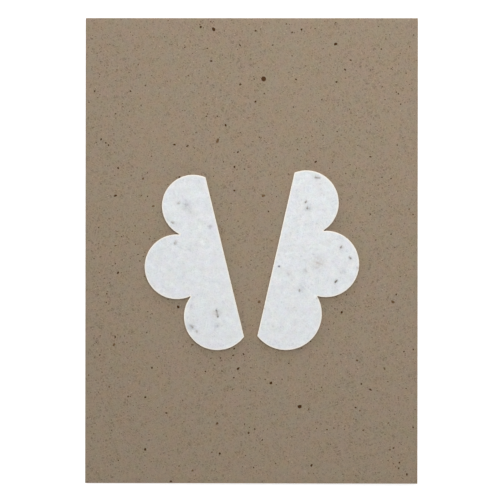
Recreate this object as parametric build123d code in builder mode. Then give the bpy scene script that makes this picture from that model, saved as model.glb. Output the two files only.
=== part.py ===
"""A folded kraft greeting card that carries a butterfly made of two seed paper wings.

The card lies closed on its back leaf, with its fold at the left. Its front leaf springs open a little, and
the wings are held on that leaf by thin sticky pads. Each wing is half of a flower of round petals, cut
straight across, with seeds bedded in its face. Millimetres, +Z up, +Y to the top of the front, origin under
the middle of the back leaf.
"""

import os
from dataclasses import dataclass

from build123d import *

# Card: one sheet of card stock, folded once
card_width = 127.0
card_height = 177.8
card_thickness = 0.4
fold_radius = 0.5
opening_angle = 0.72

# Seed paper of the wings
paper_thickness = 0.7
notch_radius = 0.15
corner_radius = 0.2
edge_bevel = 0.12

# Sticky pads between the card and each wing, one behind each petal
pad_side = 9.0
pad_thickness = 0.3

# Seeds: flat drops with a round head and a small tip, bedded in the paper and a little proud of it
seed_width = 0.8
seed_tip_radius = 0.2
seed_thickness = 0.42
seed_proud = 0.14
seed_bevel = 0.1


@dataclass(frozen=True)
class Petal:
    """A round petal: its middle along the cut edge and out from it, and its radius."""

    along: float
    out: float
    radius: float


@dataclass(frozen=True)
class Seed:
    """A seed in a petal: its bearing from the petal's middle, its inset from the rim, its heading and length."""

    petal: Petal
    bearing: float
    inset: float
    heading: float
    length: float


@dataclass(frozen=True)
class Wing:
    """A wing: the side it lies on, a point of its cut edge on the card's front, its lean, petals and seeds."""

    name: str
    side: int
    edge_x: float
    edge_y: float
    lean: float
    petals: tuple[Petal, ...]
    seeds: tuple[Seed, ...]


left_top_petal = Petal(along=21.23, out=7.16, radius=11.92)
left_outer_petal = Petal(along=0.13, out=18.62, radius=12.35)
left_low_petal = Petal(along=-22.0, out=8.11, radius=12.76)

left_wing = Wing(
    name="left_wing",
    side=-1,
    edge_x=-10.3,
    edge_y=-1.92,
    lean=13.65,
    petals=(left_top_petal, left_outer_petal, left_low_petal),
    seeds=(
        Seed(left_top_petal, bearing=154, inset=6.35, heading=10, length=1.1),
        Seed(left_top_petal, bearing=205, inset=1.85, heading=116, length=1.2),
        Seed(left_outer_petal, bearing=80, inset=3.05, heading=61, length=1.5),
        Seed(left_low_petal, bearing=78, inset=11.55, heading=87, length=3.1),
        Seed(left_low_petal, bearing=188, inset=2.4, heading=125, length=1.35),
        Seed(left_low_petal, bearing=202, inset=3.2, heading=70, length=1.1),
    ),
)

right_top_petal = Petal(along=21.08, out=6.96, radius=12.38)
right_outer_petal = Petal(along=0.0, out=19.44, radius=12.66)
right_low_petal = Petal(along=-22.02, out=8.74, radius=13.74)

right_wing = Wing(
    name="right_wing",
    side=1,
    edge_x=9.5,
    edge_y=-0.74,
    lean=12.75,
    petals=(right_top_petal, right_outer_petal, right_low_petal),
    seeds=(
        Seed(right_top_petal, bearing=79, inset=1.85, heading=5, length=2.3),
        Seed(right_top_petal, bearing=126, inset=11.95, heading=60, length=1.15),
        Seed(right_top_petal, bearing=294, inset=10.45, heading=100, length=1.15),
        Seed(right_outer_petal, bearing=61, inset=3.95, heading=80, length=1.15),
        Seed(right_outer_petal, bearing=27, inset=3.15, heading=150, length=1.25),
        Seed(right_outer_petal, bearing=313, inset=5.0, heading=55, length=1.5),
        Seed(right_low_petal, bearing=73, inset=3.25, heading=100, length=1.15),
    ),
)


def plane_on(face: Plane, x: float, y: float, z: float, turn: float = 0) -> Plane:
    """The plane at a place on and above face, parallel to it and turned about its normal."""
    return Plane(face * Location((x, y, z), (0, 0, turn)))


def petal_middle(wing: Wing, petal: Petal) -> Vector:
    """The petal's middle on the wing's own plane, whose Y axis runs up the cut edge."""
    return Vector(wing.side * petal.out, petal.along)


def seed_plane(wing: Wing, bed: Plane, seed: Seed) -> Plane:
    """The plane of a seed's underside on the floor of its bed, with its origin mid-seed and X to the tip."""
    reach = Vector(seed.petal.radius - seed.inset, 0).rotate(Axis.Z, seed.bearing)
    middle = petal_middle(wing, seed.petal) + reach
    return plane_on(bed, middle.X, middle.Y, 0, seed.heading)


def export(part: Part, name: str) -> None:
    """Labels a finished piece and writes its file."""
    part.label = name
    export_step(part, f"parts/{name}.step")


os.makedirs("parts", exist_ok=True)

# The face of the front leaf, which turns about the middle of the fold's bend
leaf_length = card_width - fold_radius
fold_axis = Vector(fold_radius - card_width / 2, 0, fold_radius)
leaf = Plane(fold_axis).rotated((0, -opening_angle, 0))
front = plane_on(leaf, card_width / 2 - fold_radius, 0, fold_radius)

# Card: the outer line of its section runs along the back leaf, round the fold and up the front leaf
with BuildPart() as card:
    with BuildSketch(Plane.XZ):
        with BuildLine():
            back_line = Line((card_width / 2, 0), (fold_axis.X, 0))
            fold_line = JernArc(back_line @ 1, back_line % 1, fold_radius, opening_angle - 180)
            PolarLine(fold_line @ 1, leaf_length, direction=fold_line % 1)
            offset(amount=card_thickness, side=Side.RIGHT)
        make_face()
    extrude(amount=card_height / 2, both=True)
export(card.part, "card")

for wing in (left_wing, right_wing):
    underside = plane_on(front, wing.edge_x, wing.edge_y, pad_thickness, -wing.side * wing.lean)
    face = underside.offset(paper_thickness)
    bed = face.offset(seed_proud - seed_thickness)
    middles = [petal_middle(wing, petal) for petal in wing.petals]

    # Seeds: the outline of two circles drawn together, with a bevel round the top
    with BuildPart() as seeds:
        for seed in wing.seeds:
            with BuildSketch(seed_plane(wing, bed, seed)):
                with Locations(((seed_width - seed.length) / 2, 0)):
                    Circle(seed_width / 2)
                with Locations((seed.length / 2 - seed_tip_radius, 0)):
                    Circle(seed_tip_radius)
                make_hull()
            extrude(amount=seed_thickness)
        seed_tops = seeds.faces().group_by(Axis(bed.origin, bed.z_dir))[-1]
        chamfer(seed_tops.edges(), length=seed_bevel)
    export(seeds.part, f"{wing.name}_seeds")

    # Wing: petals and the body between them, cut straight, with a bed for each seed
    with BuildPart() as sheet:
        with BuildSketch(underside) as outline:
            for middle, petal in zip(middles, wing.petals):
                with Locations(middle):
                    Circle(petal.radius)
            with BuildLine():
                Polyline((0, middles[0].Y), *middles, (0, middles[-1].Y), close=True)
            make_face()
            split(bisect_by=Plane.YZ, keep=Keep.TOP if wing.side > 0 else Keep.BOTTOM)
            cut_edge = outline.edges().filter_by(GeomType.LINE).sort_by(Edge.length)[-1]
            corners = cut_edge.vertices()
            notches = [vertex for vertex in outline.vertices() if abs(vertex.X) > corner_radius]
            fillet(notches, radius=notch_radius)
            fillet(corners, radius=corner_radius)
        extrude(amount=paper_thickness)
        rim = sheet.faces().sort_by(Axis(face.origin, face.z_dir))[-1].edges()
        chamfer(rim, length=edge_bevel)
        add(seeds.part, mode=Mode.SUBTRACT)
    export(sheet.part, wing.name)

    # Pads: one behind the middle of each petal, from the card's front to the wing
    with BuildPart() as pads:
        with BuildSketch(underside):
            with Locations(*middles):
                Rectangle(pad_side, pad_side)
        extrude(amount=-pad_thickness)
    export(pads.part, f"{wing.name}_pads")
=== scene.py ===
"""Dresses a folded kraft card that carries a butterfly of two seed paper wings.

Shapes are worked out in millimetres, as whole numpy arrays, and are written to the meshes in metres. Places
on the card's front are (x, y) from its middle, with x to the open edge and y to the top, and a height over
its face. Places on a wing are (out, along): out from its straight cut edge and up along it.
"""

import logging
import math
from dataclasses import astuple, dataclass
from enum import Enum
from typing import Protocol

import bpy
import numpy as np
from bpy.types import ID, Material, Node, NodeOutputs, NodeSocket, NodeTree, Object
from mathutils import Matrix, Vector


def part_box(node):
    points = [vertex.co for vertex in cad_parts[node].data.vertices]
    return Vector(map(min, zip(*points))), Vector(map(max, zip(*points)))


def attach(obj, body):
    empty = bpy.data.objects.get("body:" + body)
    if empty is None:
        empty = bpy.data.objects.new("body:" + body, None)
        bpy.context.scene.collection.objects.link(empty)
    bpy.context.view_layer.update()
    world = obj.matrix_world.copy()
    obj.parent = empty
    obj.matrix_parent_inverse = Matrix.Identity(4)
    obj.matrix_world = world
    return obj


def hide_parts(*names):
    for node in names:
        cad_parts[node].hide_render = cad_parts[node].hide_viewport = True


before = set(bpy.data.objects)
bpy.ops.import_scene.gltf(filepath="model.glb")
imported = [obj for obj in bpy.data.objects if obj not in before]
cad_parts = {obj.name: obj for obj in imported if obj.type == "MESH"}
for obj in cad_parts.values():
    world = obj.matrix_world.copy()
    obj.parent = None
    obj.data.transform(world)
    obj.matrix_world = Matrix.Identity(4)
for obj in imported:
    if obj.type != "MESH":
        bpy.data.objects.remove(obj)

MM = 0.001
TURN = 2.0 * math.pi
BODY = "root"
LOG = logging.getLogger("butterfly_card")

# Least length that is divided by
TINY = 1e-6
# An edge shows as a crease past this angle between its faces
CREASE_DEGREES = 50.0
# A ripple's waves: how many, and the shortest and longest as shares of its wavelength
WAVES = 40
WAVE_SPREAD = (0.65, 1.6)

Colour = tuple[float, float, float]
# The two values between which a ramp runs, and what it gives at each
Ramp = tuple[float, float, float, float]
# What a node's input takes: a socket to link, or a plain value
Feed = NodeSocket | float | Colour


class Side(Enum):
    """The side of the butterfly that a wing lies on, as the sign of its outward direction."""

    LEFT = -1
    RIGHT = 1


class CardFace(Enum):
    """A face of the folded card: 1 for the front leaf or -1 for the back one, and whether it is outside."""

    FRONT = (1, True)
    FRONT_INSIDE = (1, False)
    BACK_INSIDE = (-1, False)
    BACK = (-1, True)


class SocketKind(Enum):
    """The type of a node group's socket."""

    PLACE = "NodeSocketVector"
    VALUE = "NodeSocketFloat"
    COLOUR = "NodeSocketColor"


class Mask(Enum):
    """An output of the felt that a veil of colour follows."""

    CLOUD = "Cloud"
    FIBRE = "Fibre"
    GRAIN = "Grain"


def smooth_step(low: float, high: float, value: np.ndarray) -> np.ndarray:
    """Rises smoothly from 0 at low to 1 at high: 3t squared less 2t cubed, where t is the share of the way.

    Args:
        low: value that gives 0, which may be above high for a fall.
        high: value that gives 1.
        value: values to ease.

    Returns:
        The eased values, between 0 and 1.
    """
    share = np.clip((value - low) / (high - low), 0.0, 1.0)
    return share * share * (3.0 - 2.0 * share)


def soft_fall(gap: np.ndarray, reach: float) -> np.ndarray:
    """Falls from 1 as a bell does: e to the minus square of the gap over the reach."""
    return np.exp(-((gap / reach) ** 2))


def ripple(places: np.ndarray, wavelength: float, seed: int) -> np.ndarray:
    """A random smooth height of unit spread: a sum of plane waves with seeded headings, lengths and phases.

    Args:
        places: (n, 2) places.
        wavelength: typical wavelength.
        seed: seed of the random draw.

    Returns:
        One height for each place.
    """
    draw = np.random.default_rng(seed)
    heading = draw.uniform(0.0, TURN, WAVES)
    number = TURN / (wavelength * draw.uniform(*WAVE_SPREAD, WAVES))
    phase = draw.uniform(0.0, TURN, WAVES)
    direction = np.stack([np.cos(heading), np.sin(heading)]) * number
    return np.cos(places @ direction + phase).sum(axis=1) * math.sqrt(2.0 / WAVES)


def grid_quads(index: np.ndarray, closed: bool = False) -> np.ndarray:
    """Quads of a grid of point numbers: each joins a point, the next in its row and the two in the row after.

    Args:
        index: (rows, columns) point numbers.
        closed: whether each row's last point also joins its first.

    Returns:
        (n, 4) quads, which face the viewer when rows go up and columns go right.
    """
    after = np.roll(index, -1, axis=1) if closed else index[:, 1:]
    here = index if closed else index[:, :-1]
    return np.stack([here[:-1], after[:-1], after[1:], here[1:]], axis=-1).reshape(-1, 4)


def add_object(name: str, data: ID) -> Object:
    """Puts an object in the scene.

    Args:
        name: name of the object.
        data: its mesh, light or camera.

    Returns:
        The object.
    """
    made = bpy.data.objects.new(name, data)
    bpy.context.scene.collection.objects.link(made)
    return made


def make_piece(
    name: str,
    points: np.ndarray,
    faces: list[np.ndarray],
    material: Material,
    attributes: dict[str, np.ndarray],
) -> Object:
    """Makes a piece from points and faces, rides it on the card's body and dresses it.

    Args:
        name: name of the piece.
        points: (n, 3) points in the shared frame.
        faces: arrays of quads or triangles, as point numbers.
        material: material of the piece.
        attributes: one value for each point, by attribute name.

    Returns:
        The new object.
    """
    mesh = bpy.data.meshes.new(name)
    mesh.from_pydata((points * MM).tolist(), [], [face for group in faces for face in group.tolist()])
    mesh.shade_smooth()
    mesh.set_sharp_from_angle(angle=math.radians(CREASE_DEGREES))
    for key, values in attributes.items():
        layer = mesh.attributes.new(key, "FLOAT", "POINT")
        layer.data.foreach_set("value", np.asarray(values, dtype=np.float32))
    mesh.materials.append(material)
    piece = add_object(name, mesh)
    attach(piece, BODY)
    return piece


class Bench:
    """Adds nodes to one node tree and joins them."""

    def __init__(self, tree: NodeTree) -> None:
        """Takes the tree to work on, emptied."""
        self.tree = tree
        tree.nodes.clear()

    def node(self, kind: str, feeds: dict[str | int, Feed] | None = None, **settings: object) -> Node:
        """Adds a node, sets its own settings, such as its operation, and feeds its inputs.

        Args:
            kind: type of the node.
            feeds: what each input takes, by its name or number.
            settings: values of the node's own settings.

        Returns:
            The node.
        """
        made = self.tree.nodes.new(kind)
        for key, value in settings.items():
            setattr(made, key, value)
        for key, value in (feeds or {}).items():
            target = made.inputs[key]
            if isinstance(value, NodeSocket):
                self.tree.links.new(value, target)
            else:
                target.default_value = (*value, 1.0) if target.type == "RGBA" else value
        return made

    def reckon(self, operation: str, first: Feed, second: Feed = 0.0) -> NodeSocket:
        """The result of a sum, product or other operation."""
        return self.node("ShaderNodeMath", {0: first, 1: second}, operation=operation).outputs[0]

    def span(self, value: Feed, ramp: Ramp) -> NodeSocket:
        """The value moved along a ramp and held at its ends."""
        return self.node("ShaderNodeMapRange", dict(enumerate((value, *ramp))), clamp=True).outputs[0]

    def blend(self, share: Feed, first: Feed, second: Feed, way: str = "MIX") -> NodeSocket:
        """A colour part of the way from first to second, which are the node's inputs 6 and 7."""
        feeds = {0: share, 6: first, 7: second}
        return self.node("ShaderNodeMix", feeds, data_type="RGBA", blend_type=way).outputs[2]

    def noise(self, place: Feed, scale: Feed, detail: float, rough: float, layer: float = 0.0) -> NodeSocket:
        """Soft noise of about 0 to 1, with scale in features a metre; another layer is another noise."""
        feeds = {"Vector": place, "W": layer, "Scale": scale, "Detail": detail, "Roughness": rough}
        return self.node("ShaderNodeTexNoise", feeds, noise_dimensions="4D").outputs[0]

    def cells(self, place: Feed, scale: float) -> NodeOutputs:
        """Random cells, so many a metre: each one's random colour and the distance from its point."""
        return self.node("ShaderNodeTexVoronoi", {"Vector": place, "Scale": scale}).outputs

    def turned(self, place: Feed, degrees: float, stretch: float) -> NodeSocket:
        """The place turned about Z and then drawn out along one axis, for streaks."""
        feeds = {"Vector": place, "Rotation": (0.0, 0.0, math.radians(degrees)), "Scale": (stretch, 1.0, 1.0)}
        return self.node("ShaderNodeMapping", feeds, vector_type="TEXTURE").outputs[0]

    def attribute(self, name: str) -> NodeSocket:
        """A value that the piece's own points carry."""
        return self.node("ShaderNodeAttribute", attribute_name=name).outputs["Fac"]

    def place(self) -> NodeSocket:
        """The place on the object, in metres."""
        return self.node("ShaderNodeTexCoord").outputs["Object"]

    def end(self, kind: str, shader: Node) -> None:
        """Ends the tree in an output of a kind, which takes the shader."""
        self.node(kind, {"Surface": shader.outputs[0]})


class Effect:
    """An effect that several finishes share, as one node group that takes the place on the piece."""

    NAME: str
    INPUTS: dict[str, SocketKind]
    OUTPUTS: dict[str, SocketKind]

    def __init__(self) -> None:
        """Builds the group once."""
        self.tree = bpy.data.node_groups.new(self.NAME, "ShaderNodeTree")
        bench = Bench(self.tree)
        for way, sockets in (("INPUT", self.INPUTS), ("OUTPUT", self.OUTPUTS)):
            for name, kind in sockets.items():
                self.tree.interface.new_socket(name, in_out=way, socket_type=kind.value)
        bench.node("NodeGroupOutput", self.wire(bench, bench.node("NodeGroupInput").outputs))

    def wire(self, bench: Bench, source: NodeOutputs) -> dict[str, NodeSocket]:
        """Adds the group's own nodes and gives what each output takes."""
        raise NotImplementedError

    def put(self, bench: Bench, feeds: dict[str, Feed]) -> NodeOutputs:
        """Puts the group in a material, at the place on its object, and gives the group's outputs."""
        return bench.node("ShaderNodeGroup", {"Place": bench.place(), **feeds}, node_tree=self.tree).outputs


class FibreFelt(Effect):
    """The felted fibre that every paper here is made of.

    Its outputs are Cloud, a slow change of tone; Fibre, short streaks in three headings; Grain, the finest
    noise; and Height, the relief of fibre and grain together. All lie about 0 to 1.
    """

    NAME = "fibre_felt"
    SCALES = ("Cloud Scale", "Fibre Scale", "Grain Scale")
    INPUTS = {"Place": SocketKind.PLACE, **dict.fromkeys(SCALES, SocketKind.VALUE)}
    OUTPUTS = dict.fromkeys(("Cloud", "Fibre", "Grain", "Height"), SocketKind.VALUE)
    HEADINGS = (17.0, 78.0, 136.0)
    STRETCH = 7.0
    RIDGE: Ramp = (0.0, 0.14, 1.0, 0.0)

    def wire(self, bench: Bench, source: NodeOutputs) -> dict[str, NodeSocket]:
        """Adds the noises; a streak is where a drawn out noise is near its mean.

        Args:
            bench: the group's bench.
            source: the group's inputs.

        Returns:
            What each output takes.
        """
        place = source["Place"]
        cloud = bench.noise(place, source["Cloud Scale"], detail=3.0, rough=0.6)
        grain = bench.noise(place, source["Grain Scale"], detail=2.0, rough=0.7)
        streaks: Feed = 0.0
        for heading in self.HEADINGS:
            drawn_out = bench.turned(place, heading, self.STRETCH)
            noise = bench.noise(drawn_out, source["Fibre Scale"], detail=1.0, rough=0.5)
            off_mean = bench.reckon("ABSOLUTE", bench.reckon("SUBTRACT", noise, 0.5))
            streaks = bench.reckon("MAXIMUM", streaks, bench.span(off_mean, self.RIDGE))
        halves = [bench.reckon("MULTIPLY", mask, 0.5) for mask in (streaks, grain)]
        return {"Cloud": cloud, "Fibre": streaks, "Grain": grain, "Height": bench.reckon("ADD", *halves)}


class ColourWander(Effect):
    """A paper's colour that wanders a little between tints.

    One soft noise goes between the Warm and the Cool tint and another between Rose and Green. The output is
    Base times both tints.
    """

    NAME = "colour_wander"
    TINTS = ("Warm", "Cool", "Rose", "Green")
    COLOURS = dict.fromkeys(("Base", *TINTS), SocketKind.COLOUR)
    INPUTS = {"Place": SocketKind.PLACE, "Scale": SocketKind.VALUE, **COLOURS}
    OUTPUTS = {"Colour": SocketKind.COLOUR}
    LAYERS = (3.0, 8.0)
    SWAY: Ramp = (0.34, 0.66, 0.0, 1.0)

    def wire(self, bench: Bench, source: NodeOutputs) -> dict[str, NodeSocket]:
        """Adds a noise for each pair of tints and multiplies the base by both.

        Args:
            bench: the group's bench.
            source: the group's inputs.

        Returns:
            What each output takes.
        """
        tone = source["Base"]
        for layer, first, second in zip(self.LAYERS, self.TINTS[::2], self.TINTS[1::2]):
            noise = bench.noise(source["Place"], source["Scale"], detail=3.0, rough=0.6, layer=layer)
            tint = bench.blend(bench.span(noise, self.SWAY), source[first], source[second])
            tone = bench.blend(1.0, tone, tint, "MULTIPLY")
        return {"Colour": tone}


@dataclass(frozen=True)
class Effects:
    """The effects that the finishes share."""

    felt: FibreFelt
    wander: ColourWander


class Coat(Bench):
    """A bench on a finish's node tree that holds the colour laid so far, its felt and its relief."""

    def __init__(
        self, tree: NodeTree, base: Colour, fibre_scale: tuple[float, float, float], effects: Effects
    ) -> None:
        """Lays the base on felted fibre.

        Args:
            tree: node tree of the material.
            base: colour under all layers.
            fibre_scale: clouds, fibres across their length and grains of the felt, each a metre.
            effects: the shared effects.
        """
        super().__init__(tree)
        self.wander = effects.wander
        self.fibre = effects.felt.put(self, dict(zip(FibreFelt.SCALES, fibre_scale)))
        self.tone: Feed = base
        self.height = self.fibre["Height"]

    def cover(self, share: Feed, colour: Feed) -> None:
        """Covers a share of the tone with a colour."""
        self.tone = self.blend(share, self.tone, colour)


class Layer(Protocol):
    """What lies over the base of a finish."""

    def lay(self, coat: Coat) -> None:
        """Lays it over the coat's tone."""


@dataclass(frozen=True)
class Veil:
    """A colour that follows one of the felt's masks: none up to low, and as much as cover from high on."""

    mask: Mask
    low: float
    high: float
    cover: float
    colour: Colour

    def lay(self, coat: Coat) -> None:
        """Lays the veil over the coat's tone."""
        ramp = (self.low, self.high, 0.0, self.cover)
        coat.cover(coat.span(coat.fibre[self.mask.value], ramp), self.colour)


@dataclass(frozen=True)
class PointVeil:
    """A colour that follows a value of the piece's points, and a ramp of the felt's clouds if it has one."""

    value: str
    colour: Colour
    clouds: Ramp | None = None

    def lay(self, coat: Coat) -> None:
        """Lays the veil over the coat's tone.

        Args:
            coat: coat to lay it on.
        """
        share = coat.attribute(self.value)
        if self.clouds:
            share = coat.reckon("MULTIPLY", share, coat.span(coat.fibre["Cloud"], self.clouds))
        coat.cover(share, self.colour)


@dataclass(frozen=True)
class Tints:
    """Tints that the colour wanders between, each about 1, in so many patches a metre."""

    patches: float
    warm: Colour
    cool: Colour
    rose: Colour
    green: Colour

    def lay(self, coat: Coat) -> None:
        """Tints the coat's tone."""
        feeds = dict(zip(("Scale", *ColourWander.TINTS), astuple(self)))
        coat.tone = coat.wander.put(coat, {"Base": coat.tone, **feeds})["Colour"]


@dataclass(frozen=True)
class Specks:
    """Fine specks: a dot about the point of each random cell, as wide as the cell's random value is high.

    Attributes:
        cells: cells a metre.
        rare: random value up to which a cell has no speck.
        cover: how far a speck covers what is under it.
        colour: colour of the specks.
        heading: degrees that they are turned.
        stretch: how far they are drawn out.
        widest: radius of the widest speck, in cells.
        softness: width of a speck's soft rim, in cells.
    """

    cells: float
    rare: float
    cover: float
    colour: Colour
    heading: float = 0.0
    stretch: float = 1.0
    widest: float = 0.2
    softness: float = 0.05

    def lay(self, coat: Coat) -> None:
        """Lays the specks over the coat's tone.

        Args:
            coat: coat to lay them on.
        """
        cells = coat.cells(coat.turned(coat.place(), self.heading, self.stretch), self.cells)
        chance = coat.node("ShaderNodeSeparateColor", {0: cells["Color"]}).outputs[0]
        radius = coat.span(chance, (self.rare, 1.0, 0.0, self.widest))
        inside = coat.reckon("SUBTRACT", radius, cells["Distance"])
        coat.cover(coat.span(inside, (0.0, self.softness, 0.0, self.cover)), self.colour)


@dataclass(frozen=True)
class Stains:
    """Cool or warm marks as the piece's own points have them, made patchy by a soft noise."""

    cool: Colour
    warm: Colour
    patches: float
    depth: Ramp

    def lay(self, coat: Coat) -> None:
        """Lays the marks over the coat's tone.

        Args:
            coat: coat to lay them on.
        """
        noise = coat.noise(coat.place(), self.patches, detail=3.0, rough=0.65)
        share = coat.reckon("MULTIPLY", coat.attribute("stain"), coat.span(noise, self.depth))
        coat.cover(share, coat.blend(coat.attribute("warmth"), self.cool, self.warm))


@dataclass(frozen=True)
class Bubbles:
    """Fine bubbles, so many a metre, and walls of a colour that rise with the distance from their middles."""

    cells: float
    wall: Ramp
    colour: Colour

    def lay(self, coat: Coat) -> None:
        """Lays the walls over the coat's tone and makes them its relief."""
        coat.height = coat.span(coat.cells(coat.place(), self.cells)["Distance"], self.wall)
        coat.cover(coat.height, self.colour)


@dataclass(frozen=True)
class Finish:
    """A matt finish: a base colour on felted fibre, with layers over it.

    Attributes:
        name: name of the material.
        base: colour under the layers.
        fibre_scale: clouds, fibres across their length and grains of its felt, each a metre.
        layers: what lies over the base, from the lowest up.
        roughness: mean roughness.
        relief: depth of the relief.
        gloss: specular level.
        swing: how far the roughness goes up and down with the relief.
    """

    name: str
    base: Colour
    fibre_scale: tuple[float, float, float]
    layers: tuple[Layer, ...]
    roughness: float
    relief: float
    gloss: float = 0.25
    swing: float = 0.06

    def build(self, effects: Effects) -> Material:
        """Builds the material: all layers in order, and a matt shader.

        Args:
            effects: the shared effects.

        Returns:
            The material.
        """
        material = bpy.data.materials.new(self.name)
        material.use_nodes = True
        coat = Coat(material.node_tree, self.base, self.fibre_scale, effects)
        for layer in self.layers:
            layer.lay(coat)
        roughness = (0.0, 1.0, self.roughness - self.swing, self.roughness + self.swing)
        bump = coat.node("ShaderNodeBump", {"Distance": self.relief * MM, "Height": coat.height})
        feeds = {
            "Base Color": coat.tone,
            "Roughness": coat.span(coat.height, roughness),
            "Specular IOR Level": self.gloss,
            "Normal": bump.outputs[0],
        }
        coat.end("ShaderNodeOutputMaterial", coat.node("ShaderNodeBsdfPrincipled", feeds))
        return material


@dataclass(frozen=True)
class KraftFinish(Finish):
    """Brown kraft stock: clouds, grain and fibre, pale straws and dark specks, and paler cut edges."""

    name: str = "kraft_stock"
    base: Colour = (0.280, 0.214, 0.149)
    shade: Colour = (0.124, 0.090, 0.059)
    pale: Colour = (0.361, 0.286, 0.205)
    fibre_scale: tuple[float, float, float] = (260.0, 1500.0, 2300.0)
    layers: tuple[Layer, ...] = (
        Veil(Mask.CLOUD, 0.3, 0.7, 0.13, shade),
        Veil(Mask.GRAIN, 0.25, 0.66, 0.87, shade),
        Veil(Mask.FIBRE, 0.0, 1.0, 0.7, pale),
        Tints(240.0, (1.0, 1.0, 0.935), (1.0, 1.0, 1.065), (1.044, 0.982, 0.990), (0.958, 1.016, 0.998)),
        Specks(1300.0, 0.0, 0.4, (0.560, 0.460, 0.345), heading=38.0, stretch=2.2),
        Specks(800.0, 0.7, 0.62, (0.070, 0.032, 0.012)),
        PointVeil("cut_edge", pale),
    )
    roughness: float = 0.88
    relief: float = 0.05


@dataclass(frozen=True)
class BarkFinish(Finish):
    """Chips of bark in the kraft stock, from nearly black to red brown, as their points say."""

    name: str = "bark_chip"
    base: Colour = (0.046, 0.017, 0.004)
    brown: Colour = (0.152, 0.092, 0.048)
    fibre_scale: tuple[float, float, float] = (900.0, 5200.0, 9000.0)
    layers: tuple[Layer, ...] = (PointVeil("chip_tone", brown), Veil(Mask.GRAIN, 0.3, 0.7, 0.3, brown))
    roughness: float = 0.8
    relief: float = 0.02
    gloss: float = 0.06


@dataclass(frozen=True)
class SeedPaperFinish(Finish):
    """Cool white handmade paper: cloudy pulp, marks of what is sunk in it, painted highlights on lumps and
    rim.
    """

    name: str = "seed_paper"
    base: Colour = (0.776, 0.806, 0.820)
    cloud: Colour = (0.560, 0.580, 0.608)
    pale: Colour = (0.865, 0.880, 0.885)
    rim_highlight: Colour = (0.878, 0.830, 0.750)
    grey: Colour = (0.198, 0.194, 0.238)
    tan: Colour = (0.330, 0.235, 0.150)
    fibre_scale: tuple[float, float, float] = (330.0, 1100.0, 1900.0)
    layers: tuple[Layer, ...] = (
        Veil(Mask.CLOUD, 0.34, 0.66, 0.72, cloud),
        Veil(Mask.GRAIN, 0.34, 0.66, 0.82, cloud),
        Veil(Mask.FIBRE, 0.0, 1.0, 0.45, pale),
        Tints(290.0, (1.004, 1.002, 0.966), (0.996, 0.998, 1.032), (1.018, 0.984, 1.0), (0.982, 1.016, 1.0)),
        # Painted highlights: paler paper over the pulp's bumps
        PointVeil("pale", pale),
        # Painted warm highlight along the rim, for light the edge catches and light bounced from the brown
        # card
        PointVeil("rim", rim_highlight),
        Stains(grey, tan, 1100.0, (0.36, 0.64, 0.25, 1.4)),
    )
    roughness: float = 0.92
    relief: float = 0.06


@dataclass(frozen=True)
class HuskFinish(Finish):
    """Grey olive seed husk with fine grain, veiled here and there by pulp."""

    name: str = "seed_husk"
    base: Colour = (0.052, 0.045, 0.032)
    husk: Colour = (0.148, 0.130, 0.090)
    pulp: Colour = (0.608, 0.606, 0.588)
    fibre_scale: tuple[float, float, float] = (1500.0, 7000.0, 9000.0)
    layers: tuple[Layer, ...] = (
        Veil(Mask.GRAIN, 0.3, 0.7, 1.0, husk),
        PointVeil("veil", pulp, clouds=(0.25, 0.6, 0.55, 1.0)),
    )
    roughness: float = 0.7
    relief: float = 0.03


@dataclass(frozen=True)
class PadFinish(Finish):
    """White sticky pad with fine bubbles, about a third of a millimetre wide and darker in their middles."""

    name: str = "sticky_pad"
    base: Colour = (0.56, 0.56, 0.54)
    white: Colour = (0.80, 0.80, 0.78)
    fibre_scale: tuple[float, float, float] = (700.0, 3000.0, 6000.0)
    layers: tuple[Layer, ...] = (
        Bubbles(3200.0, (0.1, 0.6, 0.0, 1.0), white),
        Veil(Mask.CLOUD, 0.3, 0.7, 0.3, base),
    )
    roughness: float = 0.85
    relief: float = 0.08


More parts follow.
